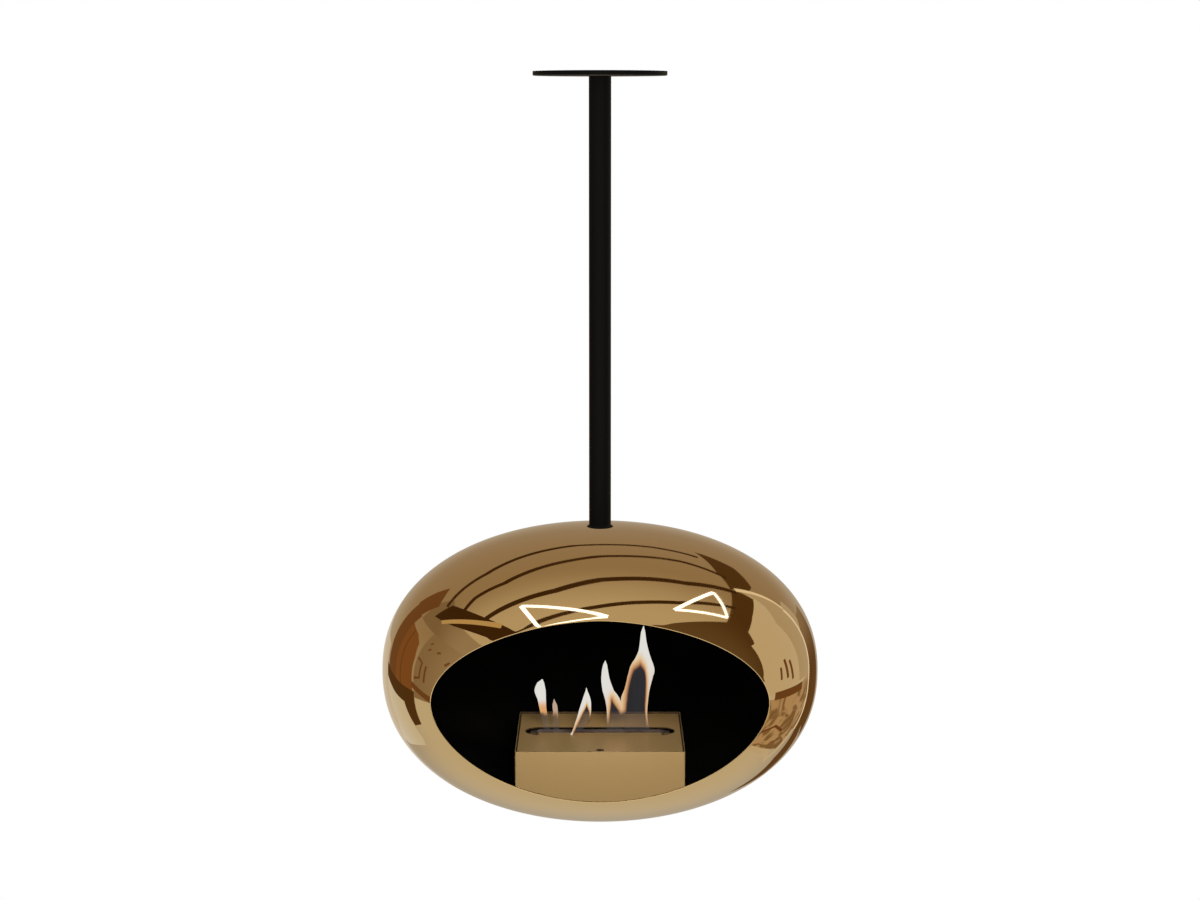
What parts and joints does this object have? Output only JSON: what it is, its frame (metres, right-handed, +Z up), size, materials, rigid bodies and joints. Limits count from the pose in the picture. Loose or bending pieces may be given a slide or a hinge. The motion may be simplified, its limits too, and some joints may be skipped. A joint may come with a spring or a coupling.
{
  "type": "hanging fireplace",
  "caption": "Ceiling-hung dome fireplace with an open front on a straight pole, holding a slot burner with a lift-out lid and a sliding damper.",
  "frame": {"origin": "centre of the ceiling plate's upper face", "axes": "+Z up along the pole, the dome's opening faces -Y, +X to the right as seen from the front"},
  "size_m": [0.6, 0.5481, 1.0099],
  "materials": {
    "black_coat": "fine matt powder coat, black",
    "chamber_black": "heat-resistant deep matt black",
    "polished_gold": "mirror-polished gold plate on steel",
    "satin_gold": "satin gold plate on steel",
    "stainless": "plain stainless sheet",
    "zinc_steel": "zinc-plated turned steel",
    "bronze": "turned bronze",
    "mineral_wool": "off-white ceramic fibre"
  },
  "bodies": {
    "hanger": {"ceiling_plate": "black_coat", "ceiling_spigot": "zinc_steel", "pole": "black_coat", "pole_foot_plug": "zinc_steel", "pole_grub_top": "black_coat", "pole_grub_foot": "black_coat", "collar": "black_coat", "swivel_stud": "zinc_steel", "thrust_washer": "zinc_steel", "swivel_nut": "zinc_steel", "lock_nut": "zinc_steel"},
    "dome": {"dome_shell": "polished_gold", "dome_liner": "chamber_black", "swivel_hub": "zinc_steel", "swivel_bush": "bronze", "weld_stud_1": "zinc_steel", "weld_stud_2": "zinc_steel", "weld_stud_3": "zinc_steel", "weld_stud_4": "zinc_steel", "hub_nut_1": "zinc_steel", "hub_nut_2": "zinc_steel", "hub_nut_3": "zinc_steel", "hub_nut_4": "zinc_steel", "hearth_plate": "chamber_black", "floor_post_1": "zinc_steel", "floor_post_2": "zinc_steel", "floor_post_3": "zinc_steel", "floor_post_4": "zinc_steel", "burner_casing": "satin_gold", "casing_screw_1": "zinc_steel", "casing_screw_2": "zinc_steel", "casing_screw_3": "zinc_steel", "casing_screw_4": "zinc_steel", "ledge_front": "stainless", "ledge_rear": "stainless", "fuel_tank": "stainless", "tank_cover": "stainless", "tank_screw_front": "zinc_steel", "tank_screw_rear": "zinc_steel", "ceramic_wool": "mineral_wool", "wool_grid": "stainless"},
    "burner_lid": {"top_plate": "satin_gold", "damper_rail_left": "stainless", "damper_rail_right": "stainless"},
    "damper": {"damper_plate": "satin_gold"}
  },
  "joints": [
    {"name": "swivel", "type": "hinge", "parent": "hanger", "child": "dome", "pos_m": [0, 0, -0.62], "axis": [0, 0, 1], "continuous": true},
    {"name": "lid_lift", "type": "slide", "parent": "dome", "child": "burner_lid", "axis": [0, 0, 1], "range_m": [0, 0.06]},
    {"name": "damper_slide", "type": "slide", "parent": "burner_lid", "child": "damper", "axis": [0, 1, 0], "range_m": [0, 0.026]}
  ]
}
